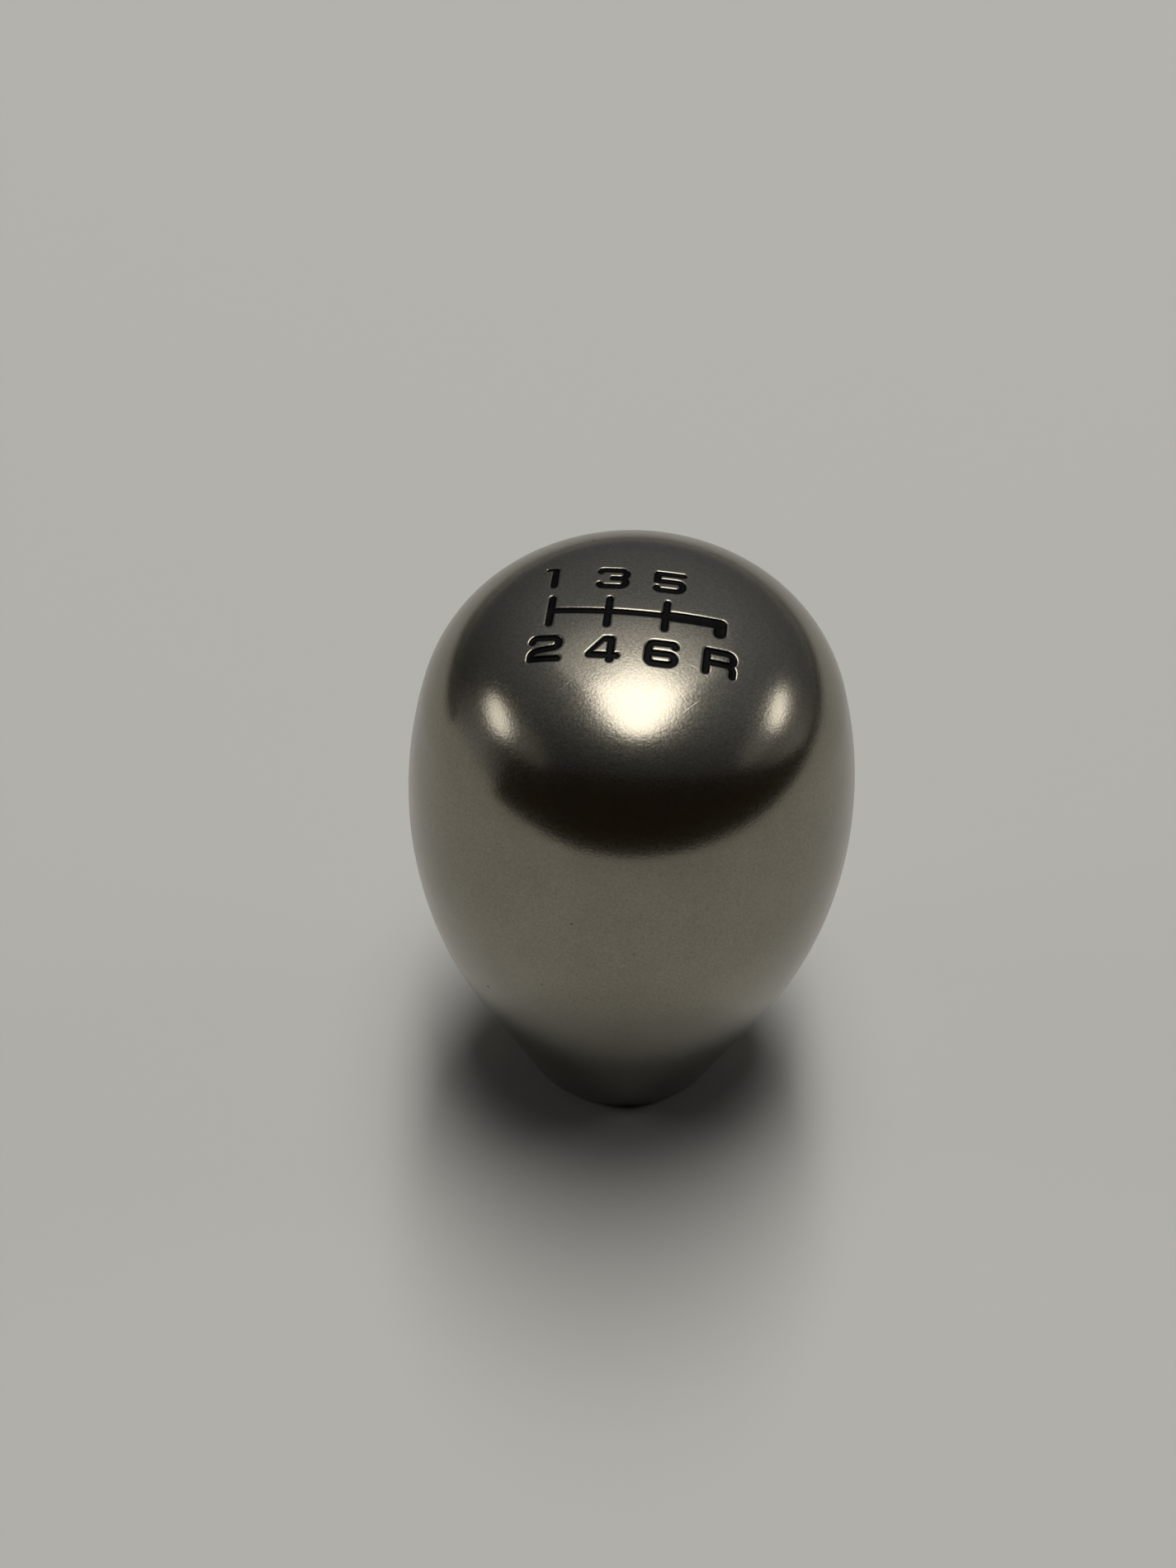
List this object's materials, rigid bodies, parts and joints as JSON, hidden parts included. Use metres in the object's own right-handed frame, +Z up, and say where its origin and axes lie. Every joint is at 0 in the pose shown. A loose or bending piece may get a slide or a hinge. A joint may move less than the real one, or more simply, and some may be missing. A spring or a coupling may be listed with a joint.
{
  "type": "gear shift knob",
  "caption": "Turned teardrop gear shift knob with a low dome, an engraved and black-filled shift pattern on top and a tapped blind hole in its small flat base.",
  "frame": {"origin": "centre of the flat base, on the axis of the lever thread", "axes": "+Z up the axis of the lever thread towards the dome, +X along the shift pattern's cross bar towards reverse, driver on the -Y side"},
  "size_m": [0.045, 0.045, 0.066],
  "materials": {
    "bead_blasted_titanium": "satin, bead blasted titanium, warm grey",
    "black_enamel": "matt black enamel infill"
  },
  "bodies": {
    "root": {"knob_body": "bead_blasted_titanium", "shift_pattern_fill": "black_enamel"}
  },
  "joints": []
}
